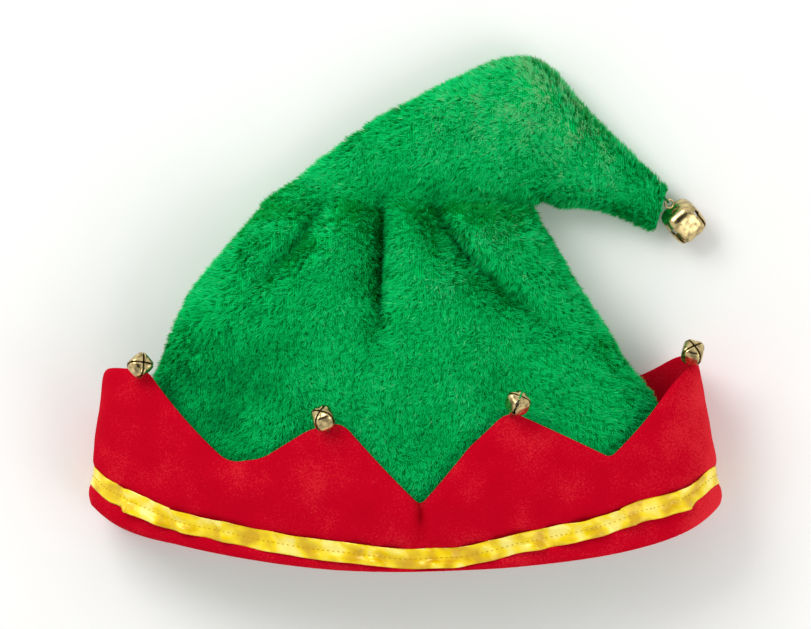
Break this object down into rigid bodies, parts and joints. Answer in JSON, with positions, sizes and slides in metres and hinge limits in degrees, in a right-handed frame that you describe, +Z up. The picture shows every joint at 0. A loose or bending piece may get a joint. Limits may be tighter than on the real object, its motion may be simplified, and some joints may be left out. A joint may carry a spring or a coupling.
{
  "type": "elf hat",
  "caption": "Plush cone hat lying on its back, with a bent tail, a velour cuff cut into points, a satin ribbon near the hem and jingle bells on the points and the tail's tip.",
  "frame": {"origin": "bottom centre of the bounding box of the hat as it lies on its back", "axes": "+X from fold to fold towards the side that the tail falls to, +Y from the mouth towards the gathered shoulder, +Z up, away from the surface that it lies on"},
  "size_m": [0.3166, 0.2582, 0.0925],
  "materials": {
    "plush": "long green polyester pile",
    "velour": "short red velour nap",
    "satin": "yellow satin weave",
    "bell_brass": "pale brass plate, polished",
    "pellet_steel": "plain steel"
  },
  "bodies": {
    "root": {"crown": "plush", "cuff": "velour", "ribbon": "satin", "point_bell_1": "bell_brass", "point_bell_pellet_1": "pellet_steel", "point_bell_2": "bell_brass", "point_bell_pellet_2": "pellet_steel", "point_bell_3": "bell_brass", "point_bell_pellet_3": "pellet_steel", "point_bell_4": "bell_brass", "point_bell_pellet_4": "pellet_steel", "point_bell_5": "bell_brass", "point_bell_pellet_5": "pellet_steel", "point_bell_6": "bell_brass", "point_bell_pellet_6": "pellet_steel", "point_bell_7": "bell_brass", "point_bell_pellet_7": "pellet_steel", "tip_bell": "bell_brass", "tip_bell_pellet": "pellet_steel"}
  },
  "joints": []
}
